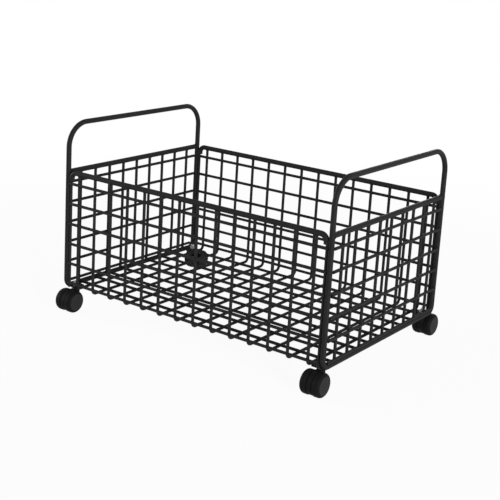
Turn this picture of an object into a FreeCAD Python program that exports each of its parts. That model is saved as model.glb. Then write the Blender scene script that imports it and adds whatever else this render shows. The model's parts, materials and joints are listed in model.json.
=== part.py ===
import FreeCAD, Part
import math
import os

# Rolling book cart: an open-top wire basket between two looped end frames, on four twin-wheel casters.
# Millimetres. The origin is on the floor under the middle of the cart, +X runs along the long side,
# +Y towards the back and +Z up.

# Overall frame
POST_SPAN_X = 421.0
POST_SPAN_Y = 276.0
ROD = 7.0
RAIL_HEIGHT = 34.5
RIM_ABOVE_RAIL = 162.0
HANDLE_ABOVE_RAIL = 227.5
HANDLE_BEND = 32.0
FOOT_BEND = 9.5
WALL_RAIL_BEND = 8.0
WALL_RAIL_TURN_DOWN = 11.0

# Wire mesh. Crossing wires are pressed into each other by the set-down when they are welded.
WIRE = 4.0
SET_DOWN = 2.0
WELD_SINK = 0.05
SIDE_WELD_SINK = 0.02
CROSS_COUNT = 14
CROSS_PITCH = 29.2
CROSS_BEND = 6.0
FLOOR_DROP = 0.3
WALL_WIRE_COUNT = 6
WALL_WIRE_PITCH = 28.1
WALL_WIRE_FIRST = 15.4
END_UPRIGHT_COUNT = 9
END_UPRIGHT_PITCH = 28.4
END_UPRIGHT_OUT = 0.8

# Corner plates and caster stems
STEM_INSET_X = 7.6
STEM_INSET_Y = 10.0
PLATE_THICKNESS = 2.5
PLATE_TOP_BELOW_RAIL = 0.4
PLATE_START_Y = 4.5
PLATE_END_Y = 21.0
PLATE_CUT = 6.0
PLATE_CORNER = 1.5
STEM_THREAD = 5.0
STEM_THREAD_TOP = 41.0
STEM_COLLAR = 8.0
STEM_COLLAR_THICKNESS = 1.4
STEM_SPIGOT = 5.0
STEM_SPIGOT_END = 14.5
STEM_TIP_CHAMFER = 0.6
NUT_FLATS = 8.0
NUT_HEIGHT = 4.0
NUT_CHAMFER = 0.7
HOLE_PLAY = 0.1

# Casters
WHEEL_DIAMETER = 30.5
TRAIL = 11.5
HOUSING_WIDTH = 8.0
HOUSING_TOP_GAP = 0.3
HOUSING_HUB = 14.6
HOUSING_BOSS_HALF = 4.4
HOUSING_NOSE_HEIGHT = 11.0
HOUSING_EDGE = 0.5
STEM_BORE_END = 14.0
RUNNING_PLAY = 0.05
SEAT_PLAY = 0.02
AXLE = 4.0
AXLE_END_GAP = 0.3
WHEEL_GAP = 0.5
WHEEL_WIDTH = 9.5
WHEEL_SHOULDER = 4.4
WHEEL_INNER_EDGE = 0.3
WHEEL_RIM_WALL = 2.8
WHEEL_WEB = 3.0
WHEEL_HUB = 8.6
WHEEL_BORE_WALL = 1.5

# Two places closer than this are the same place
SAME = 0.001

X = FreeCAD.Vector(1, 0, 0)
Y = FreeCAD.Vector(0, 1, 0)
Z = FreeCAD.Vector(0, 0, 1)
LEFT, RIGHT = -1, 1
FRONT, BACK = -1, 1
SIDE_NAMES = {LEFT: "left", RIGHT: "right"}
WALL_NAMES = {FRONT: "front", BACK: "back"}

half_x = POST_SPAN_X / 2
half_y = POST_SPAN_Y / 2
rod_r = ROD / 2
wire_r = WIRE / 2
wire_step = WIRE - SET_DOWN
rim_z = RAIL_HEIGHT + RIM_ABOVE_RAIL
wall_rail_end_z = rim_z - WALL_RAIL_TURN_DOWN
handle_z = RAIL_HEIGHT + HANDLE_ABOVE_RAIL
floor_cross_z = RAIL_HEIGHT - FLOOR_DROP
floor_long_z = floor_cross_z + wire_step
wall_long_y = half_y + wire_step
end_upright_x = half_x + END_UPRIGHT_OUT
end_cross_x = end_upright_x + wire_step
last_cross_x = CROSS_PITCH * (CROSS_COUNT - 1) / 2
cross_places = [i * CROSS_PITCH - last_cross_x for i in range(CROSS_COUNT)]
wall_wire_heights = [rim_z - WALL_WIRE_FIRST - i * WALL_WIRE_PITCH for i in range(WALL_WIRE_COUNT)]
end_wire_places = [(i - (END_UPRIGHT_COUNT - 1) / 2) * END_UPRIGHT_PITCH for i in range(END_UPRIGHT_COUNT)]
plate_top = RAIL_HEIGHT - PLATE_TOP_BELOW_RAIL
plate_bottom = plate_top - PLATE_THICKNESS
collar_bottom = plate_bottom - STEM_COLLAR_THICKNESS
housing_top = collar_bottom - HOUSING_TOP_GAP
wheel_r = WHEEL_DIAMETER / 2


def vec(x, y, z):
    return FreeCAD.Vector(x, y, z)


def rod(start, end, radius):
    """A straight round rod from one point to another."""
    run = end - start
    return Part.makeCylinder(radius, run.Length, start, run)


def mesh_wire(start, end, seam):
    """A straight mesh wire. The seam is the side where its surface closes, which is kept away from saddles."""
    run = end - start
    wire = Part.makeCylinder(wire_r, run.Length)
    wire.Placement = FreeCAD.Placement(start, FreeCAD.Rotation(seam, run.cross(seam), run, "ZXY"))
    return wire


def bent_path(corners, bends, closed):
    """Straight runs joined by tangent arcs. Each corner has its own bend radius, and 0 keeps a free end."""
    count = len(corners)
    edges = []
    joins = []
    for i in range(count):
        corner, radius = corners[i], bends[i]
        if radius == 0:
            joins.append((corner, corner, corner))
            continue
        back = (corners[i - 1] - corner).normalize()
        ahead = (corners[(i + 1) % count] - corner).normalize()
        half_turn = back.getAngle(ahead) / 2
        reach = radius / math.tan(half_turn)
        inwards = (back + ahead).normalize()
        middle = corner + inwards * (radius / math.sin(half_turn) - radius)
        joins.append((corner + back * reach, middle, corner + ahead * reach))
    runs = count if closed else count - 1
    for i in range(runs):
        enter, middle, leave = joins[i]
        if bends[i] > 0:
            edges.append(Part.Arc(enter, middle, leave).toShape())
        edges.append(Part.LineSegment(leave, joins[(i + 1) % count][0]).toShape())
    return Part.Wire(edges)


def bent_rod(corners, bends, radius, closed=False):
    """A round rod carried along a bent path, starting square to the path's first edge."""
    path = bent_path(corners, bends, closed)
    first = path.OrderedEdges[0]
    start = first.valueAt(first.FirstParameter)
    along = first.tangentAt(first.FirstParameter)
    section = Part.Wire(Part.makeCircle(radius, start, along))
    return path.makePipeShell([section], True, False)


def export(name, solids):
    """Write one sub-part. A group of like pieces stays a set of separate solids."""
    shape = solids[0] if len(solids) == 1 else Part.makeCompound(solids)
    if not shape.isValid():
        raise ValueError(name + " is not valid")
    shape.exportStep("parts/" + name + ".step")
    print(name, len(shape.Solids), "solids", round(shape.Volume), "mm3")


def end_loop(side):
    """One closed loop of rod: two posts, the handle between them and the bottom rail."""
    x = side * half_x
    corners = [
        vec(x, -half_y, RAIL_HEIGHT),
        vec(x, half_y, RAIL_HEIGHT),
        vec(x, half_y, handle_z),
        vec(x, -half_y, handle_z),
    ]
    return bent_rod(corners, [FOOT_BEND, FOOT_BEND, HANDLE_BEND, HANDLE_BEND], rod_r, closed=True)


def end_top_rail(side):
    """A straight rim rail of an end, from post to post."""
    x, reach = side * half_x, half_y - rod_r + WELD_SINK
    return rod(vec(x, -reach, rim_z), vec(x, reach, rim_z), rod_r)


def wall_top_rail(wall):
    """The rim rail of the front or back wall. Its ends turn down and lie against the posts."""
    y, reach = wall * half_y, half_x - ROD + WELD_SINK
    corners = [
        vec(-reach, y, wall_rail_end_z),
        vec(-reach, y, rim_z),
        vec(reach, y, rim_z),
        vec(reach, y, wall_rail_end_z),
    ]
    return bent_rod(corners, [0, WALL_RAIL_BEND, WALL_RAIL_BEND, 0], rod_r)


def cross_wire(x):
    """One wire bent into a U: down the front wall, across the floor and up the back wall."""
    top = rim_z - rod_r + WELD_SINK
    corners = [
        vec(x, -half_y, top),
        vec(x, -half_y, floor_cross_z),
        vec(x, half_y, floor_cross_z),
        vec(x, half_y, top),
    ]
    return bent_rod(corners, [0, CROSS_BEND, CROSS_BEND, 0], wire_r)


def rod_reach(offset):
    """How far a rod stands out from its axis where it meets the nearest edge of a wire offset from that axis."""
    nearest = max(offset - wire_r, 0)
    return math.sqrt(rod_r ** 2 - nearest ** 2)


def seated(wires, crossing):
    """Straight wires pressed into the wires that cross them: each crossing leaves a saddle in the straight wire."""
    return [wire.cut(crossing).Solids[0] for wire in wires]


def wall_level_rods(wall, reach):
    """Plain rods along the outside of the front or back wall, at the heights of its level wires."""
    y = wall * wall_long_y
    return [mesh_wire(vec(-reach, y, z), vec(reach, y, z), Y * wall) for z in wall_wire_heights]


def wall_edge_wires(wall):
    """The two upright wires that close a wall beside its posts, up to the rail's turned-down ends."""
    x = half_x - rod_r - wire_r + SIDE_WELD_SINK
    y = wall * half_y
    low, high = floor_cross_z, wall_rail_end_z + WELD_SINK
    wires = [mesh_wire(vec(side * x, y, low), vec(side * x, y, high), Y * -wall) for side in (LEFT, RIGHT)]
    return seated(wires, wall_level_rods(wall, half_x))


def wall_long_wires(wall):
    """Straight wires along the outside of the front or back wall, from post to post."""
    wires = wall_level_rods(wall, half_x - rod_reach(wire_step) + WELD_SINK)
    y = wall * half_y
    crossing = [mesh_wire(vec(x, y, RAIL_HEIGHT), vec(x, y, rim_z), Y * -wall) for x in cross_places]
    return seated(wires, crossing)


def floor_long_wires():
    """Straight wires lying on the floor part of the U wires, from end rail to end rail."""
    z = floor_long_z
    end_x = half_x - rod_reach(z - RAIL_HEIGHT) + WELD_SINK
    wires = [mesh_wire(vec(-end_x, y, z), vec(end_x, y, z), Z) for y in end_wire_places]
    ends = [(vec(x, -half_y, floor_cross_z), vec(x, half_y, floor_cross_z)) for x in cross_places]
    crossing = [mesh_wire(start, end, Z * -1) for start, end in ends]
    return seated(wires, crossing)


def end_uprights(side):
    """Upright wires of an end, standing on the bottom rail and reaching the top rail."""
    x = side * end_upright_x
    low, high = RAIL_HEIGHT + rod_r - WELD_SINK, rim_z - rod_r + WELD_SINK
    return [mesh_wire(vec(x, y, low), vec(x, y, high), X * -side) for y in end_wire_places]


def foot_lean(z):
    """How far a post has turned inwards at a height within its foot bend."""
    depth = max(RAIL_HEIGHT + FOOT_BEND - z, 0)
    return FOOT_BEND - math.sqrt(FOOT_BEND ** 2 - depth ** 2)


def end_cross_wires(side):
    """Level wires across the outside of an end, from post to post."""
    x = side * end_cross_x
    straight_y = half_y - rod_reach(end_cross_x - half_x) + WELD_SINK
    ends = [(straight_y - foot_lean(z - wire_r), z) for z in wall_wire_heights]
    wires = [mesh_wire(vec(x, -end_y, z), vec(x, end_y, z), X * side) for end_y, z in ends]
    return seated(wires, end_uprights(side))


def corner_plate():
    """A flat plate welded between the bottom rail and the first U wire, drawn in from the post at the origin.

    +X and +Y point into the cart here. The inner corner is cut off, and one hole takes the caster stem."""
    near_x = rod_r - WELD_SINK
    far_x = half_x - last_cross_x - wire_r + WELD_SINK
    outline = [
        vec(near_x, PLATE_START_Y, plate_bottom),
        vec(far_x, PLATE_START_Y, plate_bottom),
        vec(far_x, PLATE_END_Y - PLATE_CUT, plate_bottom),
        vec(far_x - PLATE_CUT, PLATE_END_Y, plate_bottom),
        vec(near_x, PLATE_END_Y, plate_bottom),
    ]
    outer = bent_path(outline, [PLATE_CORNER] * len(outline), closed=True)
    plate = Part.Face(outer).extrude(Z * PLATE_THICKNESS)
    centre = vec(STEM_INSET_X, STEM_INSET_Y, plate_bottom)
    return plate.cut(Part.makeCylinder(STEM_THREAD / 2 + HOLE_PLAY, PLATE_THICKNESS, centre, Z))


def caster_stem():
    """Stem on its own axis: thread above the plate, collar under it, smooth spigot down in the housing."""
    thread = Part.makeCylinder(STEM_THREAD / 2, STEM_THREAD_TOP - plate_bottom, vec(0, 0, plate_bottom), Z)
    collar = Part.makeCylinder(STEM_COLLAR / 2, STEM_COLLAR_THICKNESS, vec(0, 0, collar_bottom), Z)
    spigot = Part.makeCylinder(STEM_SPIGOT / 2, collar_bottom - STEM_SPIGOT_END, vec(0, 0, STEM_SPIGOT_END), Z)
    stem = thread.fuse([collar, spigot]).removeSplitter()
    ends = (STEM_THREAD_TOP, STEM_SPIGOT_END)
    tips = [e for e in stem.Edges if min(abs(e.CenterOfMass.z - z) for z in ends) < SAME]
    return stem.makeChamfer(STEM_TIP_CHAMFER, tips)


def stem_nut():
    """Hexagon nut on the plate, with a flat towards the rail and its corners turned down."""
    corner_r = NUT_FLATS / 2 / math.cos(math.pi / 6)
    turns = [math.pi / 6 + i * math.pi / 3 for i in range(6)]
    points = [vec(corner_r * math.cos(a), corner_r * math.sin(a), plate_top) for a in turns]
    hexagon = Part.Face(Part.makePolygon(points + points[:1])).extrude(Z * NUT_HEIGHT)
    skirt = NUT_HEIGHT - NUT_CHAMFER
    turned = Part.makeCylinder(corner_r, skirt, vec(0, 0, plate_top), Z)
    crown = Part.makeCone(corner_r, corner_r - 2 * NUT_CHAMFER, NUT_CHAMFER, vec(0, 0, plate_top + skirt), Z)
    hole = Part.makeCylinder(STEM_THREAD / 2 + SEAT_PLAY, NUT_HEIGHT, vec(0, 0, plate_top), Z)
    return hexagon.common(turned.fuse(crown)).cut(hole)


def tangent_touch(point, centre, radius, turn):
    """Where a line from an outside point touches a circle in the YZ plane. turn picks the side."""
    away = point - centre
    lean = turn * math.acos(radius / away.Length)
    base = math.atan2(away.z, away.y)
    return centre + vec(0, radius * math.cos(base + lean), radius * math.sin(base + lean))


def caster_housing():
    """The web between the two wheels: a stem boss at the origin that runs into a round hub at the axle.

    The caster trails towards -Y here."""
    x = -HOUSING_WIDTH / 2
    hub = vec(x, -TRAIL, wheel_r)
    top_front = vec(x, HOUSING_BOSS_HALF, housing_top)
    top_back = vec(x, -HOUSING_BOSS_HALF, housing_top)
    nose = vec(x, HOUSING_BOSS_HALF, HOUSING_NOSE_HEIGHT)
    upper = tangent_touch(top_back, hub, HOUSING_HUB, 1)
    lower = tangent_touch(nose, hub, HOUSING_HUB, -1)
    rear = hub - Y * HOUSING_HUB
    sides = [
        Part.LineSegment(lower, nose),
        Part.LineSegment(nose, top_front),
        Part.LineSegment(top_front, top_back),
        Part.LineSegment(top_back, upper),
        Part.Arc(upper, rear, lower),
    ]
    outline = Part.Wire([s.toShape() for s in sides])
    web = Part.Face(outline).extrude(X * HOUSING_WIDTH)
    rims = [e for e in web.Edges if e.BoundBox.XLength < SAME]
    web = web.makeFillet(HOUSING_EDGE, rims)
    stem_depth = housing_top - STEM_BORE_END
    stem_bore = Part.makeCylinder(STEM_SPIGOT / 2 + RUNNING_PLAY, stem_depth, vec(0, 0, STEM_BORE_END), Z)
    axle_bore = Part.makeCylinder(AXLE / 2 + SEAT_PLAY, HOUSING_WIDTH, hub, X)
    return web.cut([stem_bore, axle_bore])


def caster_axle():
    """Plain pin through the housing and into both wheels."""
    reach = HOUSING_WIDTH / 2 + WHEEL_GAP + WHEEL_WIDTH - WHEEL_BORE_WALL - AXLE_END_GAP
    return rod(vec(-reach, -TRAIL, wheel_r), vec(reach, -TRAIL, wheel_r), AXLE / 2)


def caster_wheel(side):
    """One dished wheel, turned about the axle: tread, rounded shoulder, flat face, web and blind hub."""
    inner = HOUSING_WIDTH / 2 + WHEEL_GAP
    outer = inner + WHEEL_WIDTH
    web = outer - WHEEL_WEB
    bore_r = AXLE / 2 + RUNNING_PLAY
    hub_r = WHEEL_HUB / 2
    rim_r = wheel_r - WHEEL_RIM_WALL
    bore_end = outer - WHEEL_BORE_WALL
    rounded_off = WHEEL_SHOULDER * (1 - math.sin(math.pi / 4))

    def at(reach, radius):
        return vec(side * reach, -TRAIL, wheel_r + radius)

    shoulder = at(outer - rounded_off, wheel_r - rounded_off)
    shoulder_end = at(outer, wheel_r - WHEEL_SHOULDER)
    sides = [
        Part.LineSegment(at(bore_end, 0), at(bore_end, bore_r)),
        Part.LineSegment(at(bore_end, bore_r), at(inner, bore_r)),
        Part.LineSegment(at(inner, bore_r), at(inner, hub_r)),
        Part.LineSegment(at(inner, hub_r), at(web, hub_r)),
        Part.LineSegment(at(web, hub_r), at(web, rim_r)),
        Part.LineSegment(at(web, rim_r), at(inner, rim_r)),
        Part.LineSegment(at(inner, rim_r), at(inner, wheel_r - WHEEL_INNER_EDGE)),
        Part.LineSegment(at(inner, wheel_r - WHEEL_INNER_EDGE), at(inner + WHEEL_INNER_EDGE, wheel_r)),
        Part.LineSegment(at(inner + WHEEL_INNER_EDGE, wheel_r), at(outer - WHEEL_SHOULDER, wheel_r)),
        Part.Arc(at(outer - WHEEL_SHOULDER, wheel_r), shoulder, shoulder_end),
        Part.LineSegment(shoulder_end, at(outer, 0)),
        Part.LineSegment(at(outer, 0), at(bore_end, 0)),
    ]
    profile = Part.Face(Part.Wire([s.toShape() for s in sides]))
    return profile.revolve(vec(0, -TRAIL, wheel_r), X, 360)


def into_corner(shape, side, wall):
    """Set a shape drawn from a post at the origin, with +X and +Y inwards, into one corner of the cart."""
    placed = shape.copy()
    if side == RIGHT:
        placed = placed.mirror(vec(0, 0, 0), X)
    if wall == BACK:
        placed = placed.mirror(vec(0, 0, 0), Y)
    placed.translate(vec(side * half_x, wall * half_y, 0))
    return placed


def onto_stem(shape, side, wall):
    """Set a caster piece drawn round the stem axis under one corner, trailing outwards."""
    placed = shape.copy()
    if wall == BACK:
        placed.rotate(vec(0, 0, 0), Z, 180)
    placed.translate(vec(side * (half_x - STEM_INSET_X), wall * (half_y - STEM_INSET_Y), 0))
    return placed


os.makedirs("parts", exist_ok=True)

# End frames with their mesh
for side in (LEFT, RIGHT):
    name = SIDE_NAMES[side]
    export(name + "_end_loop", [end_loop(side)])
    export(name + "_top_rail", [end_top_rail(side)])
    export(name + "_end_uprights", end_uprights(side))
    export(name + "_end_cross_wires", end_cross_wires(side))

# Front and back walls
for wall in (FRONT, BACK):
    name = WALL_NAMES[wall]
    export(name + "_top_rail", [wall_top_rail(wall)])
    export(name + "_edge_wires", wall_edge_wires(wall))
    export(name + "_long_wires", wall_long_wires(wall))

# Floor and the U wires that carry it
export("u_wires", [cross_wire(x) for x in cross_places])
export("floor_long_wires", floor_long_wires())

# Corner plates, stems and casters
corners = [(side, wall) for wall in (FRONT, BACK) for side in (LEFT, RIGHT)]
for side, wall in corners:
    corner = WALL_NAMES[wall] + "_" + SIDE_NAMES[side]
    export(corner + "_corner_plate", [into_corner(corner_plate(), side, wall)])
    export(corner + "_caster_stem", [onto_stem(caster_stem(), side, wall)])
    export(corner + "_caster_housing", [onto_stem(caster_housing(), side, wall)])
    export(corner + "_caster_axle", [onto_stem(caster_axle(), side, wall)])
    for wheel_side in (LEFT, RIGHT):
        drawn_side = wheel_side if wall == FRONT else -wheel_side
        wheel = onto_stem(caster_wheel(drawn_side), side, wall)
        export(corner + "_caster_" + SIDE_NAMES[wheel_side] + "_wheel", [wheel])
export("caster_nuts", [onto_stem(stem_nut(), side, wall) for side, wall in corners])
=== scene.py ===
# %% [markdown]
# A rolling book cart: a black wire basket welded between two looped rod ends, on four small casters.
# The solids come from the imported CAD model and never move. This lesson gives them their finishes,
# adds the welds that hold the mesh together, cuts the threads of the caster stems, and lights the cart
# the way a shop photograph does.

# %% Load the frame
import json
import math

import bpy
import numpy as np
from mathutils import Euler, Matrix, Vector


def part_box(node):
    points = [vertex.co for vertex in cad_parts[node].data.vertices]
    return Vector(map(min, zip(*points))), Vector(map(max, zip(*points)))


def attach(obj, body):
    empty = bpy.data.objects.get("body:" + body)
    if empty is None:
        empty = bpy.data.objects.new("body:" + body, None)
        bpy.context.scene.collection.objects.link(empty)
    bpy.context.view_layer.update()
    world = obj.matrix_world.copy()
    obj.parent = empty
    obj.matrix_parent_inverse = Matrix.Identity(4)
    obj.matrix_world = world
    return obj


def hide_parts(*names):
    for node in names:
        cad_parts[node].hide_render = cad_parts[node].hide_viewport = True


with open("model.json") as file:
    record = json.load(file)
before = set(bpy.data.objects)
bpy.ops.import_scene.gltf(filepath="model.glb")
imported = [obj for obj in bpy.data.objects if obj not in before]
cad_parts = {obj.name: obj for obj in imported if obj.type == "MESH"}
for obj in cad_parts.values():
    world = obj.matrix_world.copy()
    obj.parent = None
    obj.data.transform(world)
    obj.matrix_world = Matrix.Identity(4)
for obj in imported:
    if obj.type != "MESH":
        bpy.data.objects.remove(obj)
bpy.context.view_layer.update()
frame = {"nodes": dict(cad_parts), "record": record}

MM = 0.001

# %% [markdown]
# The camera comes first, because every other choice is judged through it. The photograph was taken from
# the front right, a little above the rim, with a long lens from about a metre and a half. The cart stands
# below the lens axis in the picture, so the frame is shifted down instead of tilting the camera further:
# tilting would make the upright posts lean together more than they do.

# %% Camera
CAMERA_PLACE = Vector((825.215, -1164.457, 533.344)) * MM
CAMERA_TURN_DEGREES = (76.6393, -3.2348, 36.289)
LENS_MM, SENSOR_MM = 78.5686, 36.0
SHIFT = (-0.001, -0.1301)

view = bpy.data.cameras.new("shop_view")
view.lens, view.sensor_width, view.sensor_fit = LENS_MM, SENSOR_MM, "HORIZONTAL"
view.shift_x, view.shift_y = SHIFT
camera = bpy.data.objects.new("shop_view", view)
camera.location = CAMERA_PLACE
camera.rotation_euler = Euler([math.radians(a) for a in CAMERA_TURN_DEGREES])
bpy.context.scene.collection.objects.link(camera)
bpy.context.scene.camera = camera
print("camera", [round(c, 3) for c in camera.location])

# %% [markdown]
# A finish is a small network of shader nodes. Writing it as sums and products is easier to read than a
# list of links, so one class stands for a socket: adding or multiplying two of them adds a Math node.
# Every other kind of node comes from one method, which sets the node's own settings before its sockets.


# %% Shader arithmetic
class Value:
    """An output socket that can be used in arithmetic. Each operation adds one Math node."""

    def __init__(self, tree, socket):
        self.tree, self.socket = tree, socket

    def node(self, kind, settings=None, out=0, **sockets):
        """Any node by type: settings first, then its sockets by name or by i0, i1 for their place."""
        return Value(self.tree, add_node(self.tree, kind, settings, **sockets).outputs[out])

    def math(self, operation, *values):
        """A Math node on its values, in the order of its sockets."""
        sockets = {"i%d" % i: v for i, v in enumerate(values)}
        return self.node("ShaderNodeMath", {"operation": operation}, **sockets)

    def __add__(self, other):
        return self.math("ADD", self, other)

    def __radd__(self, other):
        return self.math("ADD", other, self)

    def __sub__(self, other):
        return self.math("SUBTRACT", self, other)

    def __rsub__(self, other):
        return self.math("SUBTRACT", other, self)

    def __mul__(self, other):
        return self.math("MULTIPLY", self, other)

    def __rmul__(self, other):
        return self.math("MULTIPLY", other, self)

    def __pow__(self, other):
        return self.math("POWER", self, other)

    def __abs__(self):
        return self.math("ABSOLUTE", self)

    def rise(self, low, high):
        """A smooth step: 0 up to low, 1 from high on."""
        settings = {"interpolation_type": "SMOOTHSTEP"}
        return self.node("ShaderNodeMapRange", settings, i0=self, i1=low, i2=high, i3=0.0, i4=1.0)


# %% [markdown]
# A node is made in three steps: its type, its settings, its sockets. A socket takes a number, a colour or
# a link from another node, and one helper tells them apart, so that a finish reads like a recipe. A finish
# starts from the place on the piece, in the piece's own coordinates, and ends in one Principled shader.


# %% Nodes and finishes
def add_node(tree, kind, settings=None, **sockets):
    """Add one node, set its settings, then fill its sockets with numbers, colours or links."""
    node = tree.nodes.new(kind)
    for key, setting in (settings or {}).items():
        setattr(node, key, setting)
    for key, given in sockets.items():
        place = int(key[1:]) if key[1:].isdigit() else key.replace("_", " ")
        if isinstance(given, Value):
            tree.links.new(given.socket, node.inputs[place])
        else:
            node.inputs[place].default_value = given
    return node


def new_finish(name):
    """An empty node material, its tree, and the place on the piece as a vector."""
    material = bpy.data.materials.new(name)
    material.use_nodes = True
    tree = material.node_tree
    tree.nodes.clear()
    place = Value(tree, add_node(tree, "ShaderNodeTexCoord").outputs["Object"])
    return material, tree, place


def finish_with(tree, **sockets):
    """Close a finish with one Principled shader."""
    shader = add_node(tree, "ShaderNodeBsdfPrincipled", **sockets)
    end = add_node(tree, "ShaderNodeOutputMaterial")
    tree.links.new(shader.outputs["BSDF"], end.inputs["Surface"])


# %% [markdown]
# No real surface has quite one colour. Two helpers make it vary: noise of a chosen size, which stays on the
# piece when the piece moves, and a blend of two colours by such a value. Noise is better than an image
# here, because it has no seams on bent rods and can be as fine as paint.


# %% Grain and blends
def grain(place, size, detail=2.0, roughness=0.5):
    """Noise whose features are about one size across, in metres, between 0 and 1."""
    settings = {"noise_dimensions": "3D"}
    sockets = {"Vector": place, "Scale": 1.0 / size, "Detail": detail, "Roughness": roughness}
    return place.node("ShaderNodeTexNoise", settings, **sockets)


def blend_colours(place, share, first, second):
    """The first colour where share is 0, the second where it is 1. Each is three numbers or a blend."""
    first, second = (c if isinstance(c, Value) else (*c, 1.0) for c in (first, second))
    return place.node("ShaderNodeMix", {"data_type": "RGBA"}, out=2, i0=share, i6=first, i7=second)


# %% [markdown]
# Powder coat is a dry paint that is sprayed on as dust and baked. It flows just enough to leave a fine
# orange peel: ripples under a millimetre across and a few hundredths of a millimetre deep. The black is
# never quite even, and the handles are rubbed a little smoother by hands. Ripples go into the normal by
# a Bump node, the slow changes into colour and roughness.

# %% Powder coat
DULL = 0.04
COAT_DARK, COAT_LIGHT = (0.012, 0.012, 0.0122), (0.019, 0.019, 0.019)
COAT_CLOUD, PEEL, SPECK = 30 * MM, 0.9 * MM, 0.4 * MM
PEEL_DEPTH, PEEL_STRENGTH = 0.06 * MM, 0.35
RUBBED_FROM, RUBBED_TO = 235 * MM, 262 * MM


def powder_coat():
    """A slow cloud drives tone and gloss, and peel with finer specks gives the ripples."""
    material, tree, place = new_finish("black_powder_coat")
    cloud = grain(place, COAT_CLOUD)
    speck = grain(place, SPECK, detail=0.0)
    ripples = grain(place, PEEL, detail=1.0) + 0.3 * speck
    height = place.node("ShaderNodeSeparateXYZ", out=2, Vector=place)
    rubbed = height.rise(RUBBED_FROM, RUBBED_TO)
    colour = blend_colours(place, cloud, COAT_DARK, COAT_LIGHT)
    roughness = 0.46 + 0.10 * cloud + 0.04 * speck - 0.05 * rubbed
    relief = {"Strength": PEEL_STRENGTH, "Distance": PEEL_DEPTH, "Height": ripples}
    bump = place.node("ShaderNodeBump", **relief)
    finish_with(tree, Base_Color=colour, Roughness=roughness, Specular_IOR_Level=DULL, Normal=bump)
    return material


coat = powder_coat()
print(coat.name, len(coat.node_tree.nodes), "shader nodes")

# %% [markdown]
# The wheels and their housings are moulded black plastic. The flat disc of each wheel is coloured a dark grey
# and the tyre round it nearly black, so the finish changes with the distance from the axle. The disc's
# lighter grey is painted light, standing in for the light that falls on the side faces of the wheels.
# The four casters mirror each other, so that distance is one formula for all of them, with the size of y
# in place of y itself.

# %% Distance from the axle
axle_low, axle_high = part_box("back_right_caster_axle")
axle_middle = (axle_low + axle_high) / 2
WHEEL_RADIUS = axle_middle.z


def off_axle(tree, place):
    """The root of (|y| - axle y) squared plus (z - axle z) squared."""
    split = add_node(tree, "ShaderNodeSeparateXYZ", Vector=place)
    across, up = Value(tree, split.outputs["Y"]), Value(tree, split.outputs["Z"])
    return ((abs(across) - axle_middle.y) ** 2.0 + (up - axle_middle.z) ** 2.0) ** 0.5


print("wheel radius", round(WHEEL_RADIUS / MM, 2), "mm")

# %% [markdown]
# A fine groove marks the edge of the disc, the sides keep the grain of the mould, and the tread is a little
# scuffed where it rolls. The groove is too fine to model and too sharp to leave out, so it is bump.

# %% Moulded plastic
DISC_RADIUS, DISC_EDGE, GROOVE = 11.6 * MM, 0.1 * MM, 0.35 * MM
TREAD_FROM, TREAD_TO = WHEEL_RADIUS - 1.2 * MM, WHEEL_RADIUS - 0.2 * MM
MOULD_CLOUD, MOULD_GRAIN, SCUFF = 12 * MM, 0.5 * MM, 1.6 * MM
MOULD_DEPTH, MOULD_STRENGTH = 0.05 * MM, 0.3
# Painted light: the disc greys are lighter than the tyre's to stand in for the light on the side faces.
LIT_DISC_DARK, LIT_DISC_LIGHT = (0.015, 0.015, 0.0152), (0.0225, 0.0225, 0.0225)
TYRE_DARK, TYRE_LIGHT = (0.0045, 0.0045, 0.0046), (0.0075, 0.0075, 0.0075)
SCUFFED = (0.016, 0.0158, 0.0155)


def moulded_plastic():
    """Disc, groove, tyre and tread follow the distance from the axle, each with its own grain; the disc's
    grey is painted light.
    """
    material, tree, place = new_finish("black_plastic")
    distance = off_axle(tree, place)
    tyre = distance.rise(DISC_RADIUS - DISC_EDGE, DISC_RADIUS + DISC_EDGE)
    groove = 1.0 - abs(distance - DISC_RADIUS).rise(0.0, GROOVE)
    tread = distance.rise(TREAD_FROM, TREAD_TO)
    cloud = grain(place, MOULD_CLOUD)
    scuff = grain(place, SCUFF, detail=4.0, roughness=0.65).rise(0.48, 0.72) * tread
    # Painted light on the disc: its lighter grey stands in for the light on the side faces; the tyre keeps
    # the plain near black.
    lit_disc = blend_colours(place, cloud, LIT_DISC_DARK, LIT_DISC_LIGHT)
    rubber = blend_colours(place, cloud, TYRE_DARK, TYRE_LIGHT)
    worn = blend_colours(place, 0.5 * scuff, rubber, SCUFFED)
    colour = blend_colours(place, tyre, lit_disc, worn)
    roughness = 0.50 + 0.08 * cloud + 0.12 * scuff + 0.06 * tyre
    height = grain(place, MOULD_GRAIN, detail=1.0) + 0.5 * scuff - 3.0 * groove
    relief = {"Strength": MOULD_STRENGTH, "Distance": MOULD_DEPTH, "Height": height}
    bump = place.node("ShaderNodeBump", **relief)
    finish_with(tree, Base_Color=colour, Roughness=roughness, Specular_IOR_Level=DULL, Normal=bump)
    return material


plastic = moulded_plastic()
print(plastic.name, len(plastic.node_tree.nodes), "shader nodes")

# %% [markdown]
# Stems, nuts and axles are turned steel with a dull zinc plating: a pale, slightly blue metal that is cloudy
# from the bath and has a very fine grain. The cloud goes into colour and roughness, the grain into bump.

# %% Zinc plating
ZINC_BLUE, ZINC_PALE = (0.30, 0.305, 0.32), (0.40, 0.40, 0.395)
ZINC_CLOUD, ZINC_GRAIN = 4 * MM, 0.3 * MM
ZINC_DEPTH, ZINC_STRENGTH = 0.02 * MM, 0.2


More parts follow.
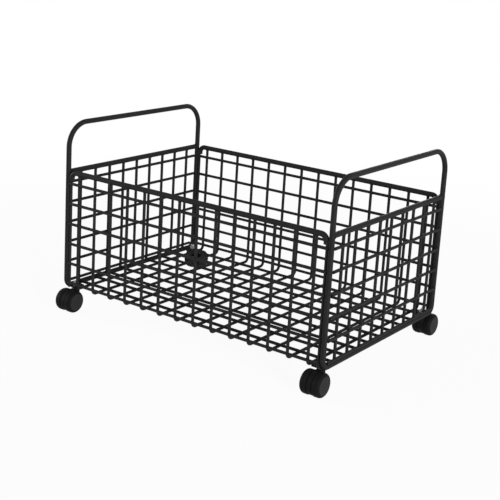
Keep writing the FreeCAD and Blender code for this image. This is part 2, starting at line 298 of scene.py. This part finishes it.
def zinc_plating():
    """A metal whose tone and gloss follow one cloud, with fine grain on top."""
    material, tree, place = new_finish("zinc_steel")
    cloud = grain(place, ZINC_CLOUD)
    colour = blend_colours(place, cloud, ZINC_BLUE, ZINC_PALE)
    roughness = 0.42 + 0.14 * cloud
    height = grain(place, ZINC_GRAIN, detail=1.0)
    relief = {"Strength": ZINC_STRENGTH, "Distance": ZINC_DEPTH, "Height": height}
    bump = place.node("ShaderNodeBump", **relief)
    finish_with(tree, Base_Color=colour, Metallic=1.0, Roughness=roughness, Normal=bump)
    return material


zinc = zinc_plating()
print(zinc.name, len(zinc.node_tree.nodes), "shader nodes")

# %% [markdown]
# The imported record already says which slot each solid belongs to, so the finishes are handed out by slot.

# %% Dress the CAD nodes
finishes = {"black_powder_coat": coat, "black_plastic": plastic, "zinc_steel": zinc}
for part in frame["record"]["subparts"]:
    for holder in frame["nodes"][part["node"]].material_slots:
        holder.material = finishes[part["material_slot"]]

# %% [markdown]
# The mesh is spot welded. Where two wires cross, the welder has pressed one half its depth into the other,
# and the metal that was squeezed out stays round the joint as a small bead, which the coat rounds off. A
# bump map could hint at it, but a bead changes the outline of the wire, so it is geometry. There are more
# than four hundred of them, so one bead is worked out as an array and copied by adding places to it, and
# it has only a few dozen faces. First come the places: the CAD boxes say where the rows of wires run.


# %% Reading the CAD boxes
def middle(node, axis):
    """The middle of a CAD node along one axis: 0 for x, 1 for y, 2 for z."""
    low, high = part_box(node)
    return (low[axis] + high[axis]) / 2


def radius_of(node, axis):
    """Half of a CAD node's thickness along one axis."""
    low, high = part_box(node)
    return (high[axis] - low[axis]) / 2


WIRE_R = radius_of("front_edge_wires", 1)
ROD_R = radius_of("left_top_rail", 2)
print("wire radius", round(WIRE_R / MM, 2), "mm, rod radius", round(ROD_R / MM, 2), "mm")

# %% [markdown]
# The wires of a row are evenly spaced, so the box of the row and the number of wires give every middle
# line. Two rows that cross give a lattice of places, one for each weld.

# %% Where the wires run
CROSS_COUNT, LEVEL_COUNT, UPRIGHT_COUNT = 14, 6, 9


def rows_of(node, axis, count):
    """Middle lines of evenly spaced wires, from a wire's radius inside one end of the box to the other."""
    low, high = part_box(node)
    return np.linspace(low[axis] + WIRE_R, high[axis] - WIRE_R, count)


def lattice(x, y, z):
    """Every combination of three lists of places, as one row each."""
    return np.stack(np.meshgrid(x, y, z, indexing="ij"), axis=-1).reshape(-1, 3)


cross_x = rows_of("u_wires", 0, CROSS_COUNT)
level_z = rows_of("front_long_wires", 2, LEVEL_COUNT)
upright_y = rows_of("left_end_uprights", 1, UPRIGHT_COUNT)
edge_x = rows_of("front_edge_wires", 0, 2)
wall_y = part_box("u_wires")[1].y - WIRE_R
floor_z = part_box("u_wires")[0].z + WIRE_R
print("mesh pitch", [round((row[1] - row[0]) / MM, 2) for row in (cross_x, level_z, upright_y)], "mm")

# %% [markdown]
# A bead lies along the seam between two surfaces. It needs no boolean: at every point of the seam the two
# surface normals are known, their sum points out of the corner and their difference runs across it, and a
# small circle in those two directions is the bead's section.


# %% A bead along a seam
def bead(seam, first_normal, second_normal, size, sides):
    """A round bead along a closed seam, as a grid of points: along the seam by round the section.

    A point is the seam point plus size times (cos s times the way out plus sin s times the way across),
    where the way out is the sum of the two unit normals and the way across their difference."""
    out = first_normal + second_normal
    across = first_normal - second_normal
    out = out / np.linalg.norm(out, axis=-1, keepdims=True)
    across = across / np.linalg.norm(across, axis=-1, keepdims=True)
    s = np.linspace(0, 2 * np.pi, sides, endpoint=False)[:, None]
    section = np.cos(s) * out[:, None, :] + np.sin(s) * across[:, None, :]
    return seam[:, None, :] + np.reshape(size, (-1, 1, 1)) * section


def set_out(ring, along, facing, places):
    """Copies of a ring at each place, with its first axis along one way and its third facing another."""
    turned = np.array([along, np.cross(facing, along), facing], float)
    return places[:, None, None, :] + ring @ turned


# %% [markdown]
# Points and faces become a piece in one place, which also hangs it on its body, gives it its finish and
# prints its volume. A volume above zero shows that the mesh is closed and that its faces point outwards.


# %% A piece from points
def volume_of(mesh):
    """The sum over all triangles of a . (b x c) / 6, with the corners a, b and c."""
    points = np.empty(len(mesh.vertices) * 3)
    mesh.vertices.foreach_get("co", points)
    points = points.reshape(-1, 3)
    mesh.calc_loop_triangles()
    corners = np.empty(len(mesh.loop_triangles) * 3, int)
    mesh.loop_triangles.foreach_get("vertices", corners)
    a, b, c = points[corners].reshape(-1, 3, 3).transpose(1, 0, 2)
    return np.einsum("ij,ij->", a, np.cross(b, c)) / 6


def new_piece(name, points, faces, body, slot):
    """A smooth mesh piece at the origin that rides on a body and wears the finish of a slot."""
    mesh = bpy.data.meshes.new(name)
    mesh.from_pydata(points.reshape(-1, 3).tolist(), [], faces)
    mesh.shade_smooth()
    mesh.materials.append(finishes[slot])
    piece = bpy.data.objects.new(name, mesh)
    bpy.context.scene.collection.objects.link(piece)
    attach(piece, body)
    print(name, len(faces), "faces", round(volume_of(mesh) / MM ** 3, 2), "mm3")
    return piece


def ring_beads(name, rings):
    """One piece from many rings: each grid closes on itself both along the seam and round the section."""
    index = np.arange(rings[..., 0].size).reshape(rings.shape[:3])
    ahead = np.roll(index, -1, axis=1)
    quads = np.stack([index, np.roll(index, -1, axis=2), np.roll(ahead, -1, axis=2), ahead], axis=-1)
    return new_piece(name, rings, quads.reshape(-1, 4).tolist(), "basket", "black_powder_coat")


# %% [markdown]
# The seam of two equal round wires that cross at right angles is a known curve. Take the first wire along
# v at depth 0 and the second along u at the depth of the step between their axes. At a depth n the first
# wire is the root of r squared minus n squared wide, and the second the same with n counted from its own
# axis. Letting the depth swing twice while the angle goes once round traces the seam. The bead is fullest
# in the four open corners and thin where the wires pass over each other.

# %% A bead where two wires cross
SEAM_STEPS, BEAD_SIDES = 12, 4
BEAD, BEAD_LEAST = 0.55 * MM, 0.6


def crossing_bead(step):
    """Bead round the joint of two wires of the mesh whose axes are one step apart.

    With the angle t: depth n = (step - r) + (2r - step) sin2 t, u = root of (r2 - n2) with the sign of
    cos t, v = root of (r2 - (n - step)2) with the sign of sin t. The size goes from BEAD_LEAST of BEAD to
    all of it, which it has at 45 degrees."""
    t = np.linspace(0, 2 * np.pi, SEAM_STEPS, endpoint=False) + np.pi / SEAM_STEPS
    n = (step - WIRE_R) + (2 * WIRE_R - step) * np.sin(t) ** 2
    u = np.sign(np.cos(t)) * np.sqrt(WIRE_R ** 2 - n ** 2)
    v = np.sign(np.sin(t)) * np.sqrt(WIRE_R ** 2 - (n - step) ** 2)
    flat = np.zeros_like(t)
    first = np.stack([u, flat, n], axis=-1) / WIRE_R
    second = np.stack([flat, v, n - step], axis=-1) / WIRE_R
    size = BEAD * (BEAD_LEAST + (1 - BEAD_LEAST) * np.sin(2 * t) ** 2)
    return bead(np.stack([u, v, n], axis=-1), second, first, size, BEAD_SIDES)


print("one bead", SEAM_STEPS * BEAD_SIDES, "faces")

# %% [markdown]
# The same bead goes on all five sides of the basket. On the walls and the ends the outer wires are the level
# ones, in the floor the upper wires are the long ones, so each side only says which way its beads face.

# %% Welds where mesh wires cross
right, back, up = np.eye(3)
upright_x = np.sort(np.concatenate([cross_x, edge_x]))
wall_ring = crossing_bead(abs(middle("front_long_wires", 1)) - wall_y)
for name, way in (("front", -1), ("back", 1)):
    places = lattice(upright_x, [way * wall_y], level_z)
    ring_beads(name + "_mesh_welds", set_out(wall_ring, -way * right, way * back, places))
for name, way in (("left", -1), ("right", 1)):
    inner = middle(name + "_end_uprights", 0)
    end_ring = crossing_bead(abs(middle(name + "_end_cross_wires", 0) - inner))
    places = lattice([inner], upright_y, level_z)
    ring_beads(name + "_mesh_welds", set_out(end_ring, way * back, way * right, places))
floor_ring = crossing_bead(middle("floor_long_wires", 2) - floor_z)
floor_places = lattice(cross_x, upright_y, [floor_z])
ring_beads("floor_mesh_welds", set_out(floor_ring, right, up, floor_places))

# %% [markdown]
# The ends of the wires are welded to the thick rods of the frame. Here the seam is where a thin cylinder
# runs into the side of a thicker one: going round the wire, the height above the rod's axis is the root of
# the rod's radius squared minus the distance across squared. A wire that meets the rod off its middle is
# covered by the same formula. Where part of it passes beside the rod, the height is held at the wire's end
# and the bead thins out to nothing, because there is no rod there to weld to.

# %% A bead round the end of a wire
END_BEAD = 0.7 * MM
WIDEST, FADE, THIN = 0.96, 0.5 * MM, 0.05


def end_bead(wire_r, rod_r, offset, wire_end, size, steps, sides):
    """Bead round a wire's end on a rod, with the rod's axis as the first axis and the wire as the third.

    With the angle a: u = wire_r cos a, v = offset + wire_r sin a, height = root of (rod_r2 - v2), not below
    the wire's end. The wire's normal is (cos a, sin a, 0) and the rod's is (0, v, height) / rod_r. The size
    falls from 1 to THIN while the gap between wire and rod grows to FADE."""
    a = np.linspace(0, 2 * np.pi, steps, endpoint=False)
    v = offset + wire_r * np.sin(a)
    on_rod = np.clip(v, -WIDEST * rod_r, WIDEST * rod_r)
    rise = np.sqrt(rod_r ** 2 - on_rod ** 2)
    flat = np.zeros_like(a)
    seam = np.stack([wire_r * np.cos(a), v, np.maximum(rise, wire_end)], axis=-1)
    wire_normal = np.stack([np.cos(a), np.sin(a), flat], axis=-1)
    rod_normal = np.stack([flat, on_rod, rise], axis=-1) / rod_r
    gap = np.maximum(np.abs(v) - rod_r, wire_end - rise)
    return bead(seam, wire_normal, rod_normal, size * np.clip(1 - gap / FADE, THIN, 1), sides)


def wire_end(offset, reach):
    """Bead for a mesh wire that meets a frame rod off its middle, and ends at some reach from its axis."""
    return end_bead(WIRE_R, ROD_R, offset, reach, END_BEAD, SEAM_STEPS, BEAD_SIDES)


rim_z = middle("left_top_rail", 2)
rail_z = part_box("right_end_loop")[0].z + ROD_R
post_x = middle("right_top_rail", 0)
post_y = radius_of("right_end_loop", 1) - ROD_R
print("posts at", round(post_x / MM, 1), round(post_y / MM, 1), "mm, rim at", round(rim_z / MM, 1), "mm")

# %% [markdown]
# On the front and back walls the U wires end under the top rail, square on its middle, and the long wires
# end beside the posts, a little outside their middle.

# %% Wire ends on the walls
square_on = wire_end(0.0, 0.0)
for name, way in (("front", -1), ("back", 1)):
    tops = set_out(square_on, right, -up, lattice(cross_x, [way * post_y], [rim_z]))
    outside = middle(name + "_long_wires", 1) - way * post_y
    reach = post_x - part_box(name + "_long_wires")[1].x
    ends = [set_out(wire_end(side * outside, reach), up, -side * right,
                    lattice([side * post_x], [way * post_y], level_z)) for side in (-1, 1)]
    ring_beads(name + "_wire_end_welds", np.concatenate([tops, *ends]))

# %% [markdown]
# On the two ends the uprights stand between top rail and bottom rail, the floor wires meet the bottom rail
# a little above its middle, and the level wires end beside the posts. The lowest level wire is shorter,
# because the loop's bend takes its room, and its ends lie free.

# %% Wire ends on the two ends
for name, way in (("left", -1), ("right", 1)):
    on_rail = lattice([way * post_x], upright_y, [rail_z])
    outside = middle(name + "_end_uprights", 0) - way * post_x
    tops = set_out(wire_end(outside, 0.0), back, -up, lattice([way * post_x], upright_y, [rim_z]))
    feet = set_out(wire_end(-outside, 0.0), back, up, on_rail)
    above = middle("floor_long_wires", 2) - rail_z
    reach = post_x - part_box("floor_long_wires")[1].x
    floor_ends = set_out(wire_end(-way * above, reach), back, -way * right, on_rail)
    outside = middle(name + "_end_cross_wires", 0) - way * post_x
    reach = post_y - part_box(name + "_end_cross_wires")[1].y
    level_ends = [set_out(wire_end(-wall * outside, reach), up, -wall * back,
                          lattice([way * post_x], [wall * post_y], level_z[1:])) for wall in (-1, 1)]
    ring_beads(name + "_wire_end_welds", np.concatenate([tops, feet, floor_ends, *level_ends]))

# %% [markdown]
# The top rails of the two ends are as thick as the posts that they run into. The same bead serves, with more
# steps, because this one is large enough to be seen.

# %% Welds of the end rails
RAIL_BEAD = 1.1 * MM
RAIL_STEPS, RAIL_SIDES = 28, 6

rail_ring = end_bead(ROD_R, ROD_R, 0.0, 0.0, RAIL_BEAD, RAIL_STEPS, RAIL_SIDES)
for name, way in (("left", -1), ("right", 1)):
    rail_ends = [set_out(rail_ring, up, -wall * back, lattice([way * post_x], [wall * post_y], [rim_z]))
                 for wall in (-1, 1)]
    ring_beads(name + "_rail_welds", np.concatenate(rail_ends))

# %% [markdown]
# Two rods that lie side by side, such as the turned-down end of a wall rail against its post, are joined by
# a short run of weld in the groove between them. So are the corner plates, along the rail and the first U
# wire. Such a run is a stack of overlapping drops: a tube that is closed at both ends and swells a little
# at every drop.

# %% A run of weld
DROP, SWELL = 1.3 * MM, 0.09
RUN_STEPS, RUN_SIDES = 40, 8


def weld_run(start, end, size):
    """A run of weld from one point to another: rows of points round its line, and its two ends.

    With s from 0 to 1: the radius is size times the root of (1 - (2s - 1) to the power 6), so the ends
    close, times 1 + SWELL times the sine of one turn for every drop along the run."""
    start, end = np.array(start, float), np.array(end, float)
    length = np.linalg.norm(end - start)
    line = (end - start) / length
    side = np.cross(line, right)
    s = np.linspace(0, 1, RUN_STEPS)[1:-1, None, None]
    swell = 1 + SWELL * np.sin(2 * np.pi * s * length / DROP)
    radius = size * np.sqrt(1 - (2 * s - 1) ** 6) * swell
    turn = np.linspace(0, 2 * np.pi, RUN_SIDES, endpoint=False)[:, None]
    section = np.cos(turn) * side + np.sin(turn) * np.cross(line, side)
    rows = start + s * (end - start) + radius * section
    return rows, start, end


# %% [markdown]
# A tube is a grid that closes round its section and has a pole at each end. Numbering the points as an array
# gives all its faces at once: each point, the one beside it, and the two above them.


# %% Closed tubes
def tube_faces(rows, sides, first):
    """Faces of a tube of rows of points, then a pole at each end, numbered from the first point."""
    index = first + np.arange(rows * sides).reshape(rows, sides)
    beside = np.roll(index, -1, axis=1)
    quads = np.stack([index[:-1], beside[:-1], beside[1:], index[1:]], axis=-1).reshape(-1, 4)
    low, high = first + rows * sides, first + rows * sides + 1
    cap_low = np.stack([np.full(sides, low), beside[0], index[0]], axis=-1)
    cap_high = np.stack([np.full(sides, high), index[-1], beside[-1]], axis=-1)
    return quads.tolist() + cap_low.tolist() + cap_high.tolist()


def tubes(name, runs, body, slot):
    """One piece from several closed tubes."""
    points, faces = [], []
    for rows, low, high in runs:
        faces += tube_faces(rows.shape[0], rows.shape[1], sum(len(p) for p in points))
        points.append(np.concatenate([rows.reshape(-1, 3), [low], [high]]))
    return new_piece(name, np.concatenate(points), faces, body, slot)


# %% [markdown]
# Each turned-down rail end gets a run on both sides of the line where it touches the post, and each corner
# plate one beside the bottom rail and one beside the first U wire.

# %% Runs of weld in grooves
CORNER_RUN, PLATE_RUN = 1.5 * MM, 1.0 * MM
GROOVE_OFF, RUN_FROM, RUN_TO = 1.5 * MM, 0.5 * MM, 5.5 * MM
RAIL_SIDE = (15.2 * MM, 20.2 * MM)
WIRE_SIDE = (6.0 * MM, 14.0 * MM)

turned_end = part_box("front_top_rail")[0].z
seat_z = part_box("front_left_corner_plate")[1].z
touch_x = post_x - ROD_R
wire_side_x = cross_x[-1] + WIRE_R
corner_runs, plate_runs = [], []
for side in (-1, 1):
    for wall in (-1, 1):
        for face in (-1, 1):
            groove = (side * touch_x, wall * post_y + face * GROOVE_OFF)
            low, high = (*groove, turned_end + RUN_FROM), (*groove, turned_end + RUN_TO)
            corner_runs.append(weld_run(low, high, CORNER_RUN))
        for x, span in ((touch_x, RAIL_SIDE), (wire_side_x, WIRE_SIDE)):
            ends = [(side * x, wall * (post_y - inwards), seat_z) for inwards in span]
            plate_runs.append(weld_run(*ends, PLATE_RUN))
tubes("rail_corner_welds", corner_runs, "basket", "black_powder_coat")
tubes("plate_welds", plate_runs, "basket", "black_powder_coat")

# %% [markdown]
# The CAD stems are smooth where the real ones are threaded. A thread is one long V groove, and on a grid of
# height by angle it is a simple formula: the depth depends only on the height in turns minus the angle in
# turns. The threaded stem takes the smooth one's place in the picture; the smooth one stays for collisions.

# %% A threaded stem
PITCH, THREAD_DEPTH, TURN_STEPS, STEM_SIDES = 0.8 * MM, 0.45 * MM, 8, 28
SPIGOT_R, TIP, COLLAR_THICK, EDGE = 2.5 * MM, 0.6 * MM, 1.4 * MM, 0.2 * MM


def stem_profile(low, high, seat, collar_r):
    """Heights and radii from the bottom up: spigot with a chamfer, collar with two, thread, tip."""
    under = seat - COLLAR_THICK
    foot = [(low, SPIGOT_R - TIP), (low + TIP, SPIGOT_R), (under, SPIGOT_R), (under, collar_r - EDGE),
            (under + EDGE, collar_r), (seat - EDGE, collar_r), (seat, collar_r - EDGE)]
    turns = np.arange(seat, high - TIP, PITCH / TURN_STEPS)
    thread = np.stack([turns, np.full_like(turns, SPIGOT_R)], axis=-1)
    tip = [(high - TIP / 2, SPIGOT_R - TIP / 2), (high, SPIGOT_R - TIP)]
    return np.concatenate([foot, thread, tip]).T


def threaded_stem(corner):
    """Spigot, collar and thread as rows of points, from the bottom up.

    The radius is the stem's own at each height, less the depth times a triangle wave of height / pitch minus
    angle / turn, which is 0 on the crests and 1 in the grooves. The wave fades in over half a turn."""
    low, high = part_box(corner + "_caster_stem")
    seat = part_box(corner + "_corner_plate")[0].z
    heights, radii = stem_profile(low.z, high.z, seat, (high.x - low.x) / 2)
    angle = np.linspace(0, 2 * np.pi, STEM_SIDES, endpoint=False)
    phase = heights[:, None] / PITCH - angle / (2 * np.pi)
    wave = np.abs(2 * (phase - np.floor(phase)) - 1)
    share = np.clip((heights - seat) / (PITCH / 2), 0, 1) * (heights < high.z - TIP)
    radius = radii[:, None] - THREAD_DEPTH * share[:, None] * wave
    x, y = middle(corner + "_caster_stem", 0), middle(corner + "_caster_stem", 1)
    tall = np.broadcast_to(heights[:, None], radius.shape)
    rows = np.stack([x + radius * np.cos(angle), y + radius * np.sin(angle), tall], axis=-1)
    return rows, (x, y, low.z), (x, y, high.z)


# %% Threaded caster stems
for corner in ("front_left", "front_right", "back_left", "back_right"):
    stem = tubes(corner + "_threaded_stem", [threaded_stem(corner)], "basket", "zinc_steel")
    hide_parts(corner + "_caster_stem")

# %% [markdown]
# The cart stands on a white sweep. To the camera and in reflections the floor glows white, and near the cart
# a small share of what is seen is the lit floor itself, which keeps the soft shadow. Far from the cart
# nothing casts a shadow, so the share fades out and the sweep has no visible end.

# %% White sweep
FLOOR_SIZE = 60.0
SHADOW_SHARE, SHADOW_NEAR, SHADOW_FAR = 0.06, 0.45, 1.3
SWEEP_DARK, SWEEP_LIGHT, SWEEP_CLOUD = (0.95, 0.95, 0.95), (0.97, 0.97, 0.97), 0.4
WHITE = (1, 1, 1, 1)


def shown_rays(tree):
    """1 for rays that show the background: from the camera, from a gloss or through glass. 0 for the rest."""
    path = add_node(tree, "ShaderNodeLightPath")
    seen, mirrored, through = (Value(tree, path.outputs["Is %s Ray" % kind])
                               for kind in ("Camera", "Glossy", "Transmission"))
    return seen.math("MINIMUM", seen + mirrored + through, 1.0)


def sweep_finish():
    """White to the camera: glow, with a share of lit floor near the cart that keeps the shadow."""
    material, tree, place = new_finish("white_sweep")
    glow = add_node(tree, "ShaderNodeEmission", Color=WHITE, Strength=1.0)
    tint = blend_colours(place, grain(place, SWEEP_CLOUD), SWEEP_DARK, SWEEP_LIGHT)
    lit = add_node(tree, "ShaderNodeBsdfDiffuse", Color=tint)
    away = place.node("ShaderNodeVectorMath", {"operation": "LENGTH"}, out=1, i0=place)
    shadow = SHADOW_SHARE * (1.0 - away.rise(SHADOW_NEAR, SHADOW_FAR))
    surfaces = {"i1": Value(tree, lit.outputs[0]), "i2": Value(tree, glow.outputs[0])}
    both = add_node(tree, "ShaderNodeMixShader", i0=shown_rays(tree) * (1.0 - shadow), **surfaces)
    end = add_node(tree, "ShaderNodeOutputMaterial")
    tree.links.new(both.outputs[0], end.inputs["Surface"])
    return material


half = FLOOR_SIZE / 2
corners = [(-half, -half, 0), (half, -half, 0), (half, half, 0), (-half, half, 0)]
sweep = bpy.data.meshes.new("white_sweep")
sweep.from_pydata(corners, [], [(0, 1, 2, 3)])
sweep.materials.append(sweep_finish())
floor = bpy.data.objects.new("white_sweep", sweep)
bpy.context.scene.collection.objects.link(floor)
print("floor", FLOOR_SIZE, "m across")

# %% [markdown]
# The room is plain: white wherever it is seen or mirrored, and a soft grey light on the cart from all round.

# %% Room
WORLD_LIGHT = 0.22

world = bpy.data.worlds.new("soft_room")
world.use_nodes = True
bpy.context.scene.world = world
sky = world.node_tree
sky.nodes.clear()
strength = shown_rays(sky) * (1.0 - WORLD_LIGHT) + WORLD_LIGHT
room = add_node(sky, "ShaderNodeBackground", Color=WHITE, Strength=strength)
sky_end = add_node(sky, "ShaderNodeOutputWorld")
sky.links.new(room.outputs[0], sky_end.inputs["Surface"])
print("room light", WORLD_LIGHT)

# %% [markdown]
# Two large soft lamps stand far off to the right and the left of the cart, low down, because in the
# photograph the rods that face the ends are lighter than the long rails, which face the camera and up. The
# right one is the stronger. A weak one behind the cart shows its back when it is walked round.

# %% Lamps
AIM = (0, 0, 0.1)
LAMPS = (("key", (4.1, -1.7, 0.85), 1.6, 230.0),
         ("fill", (-4.3, -1.3, 0.85), 1.6, 170.0),
         ("rear", (-1.5, 4.3, 0.85), 1.6, 50.0))


def soft_box(name, place, size, watts):
    """A square area lamp at a place, turned to face the cart."""
    lamp = bpy.data.lights.new(name, "AREA")
    lamp.size, lamp.energy = size, watts
    holder = bpy.data.objects.new(name, lamp)
    holder.location = place
    holder.rotation_euler = (Vector(AIM) - Vector(place)).to_track_quat("-Z", "Y").to_euler()
    bpy.context.scene.collection.objects.link(holder)


for lamp in LAMPS:
    soft_box(*lamp)
bpy.context.scene.view_settings.view_transform = "Standard"
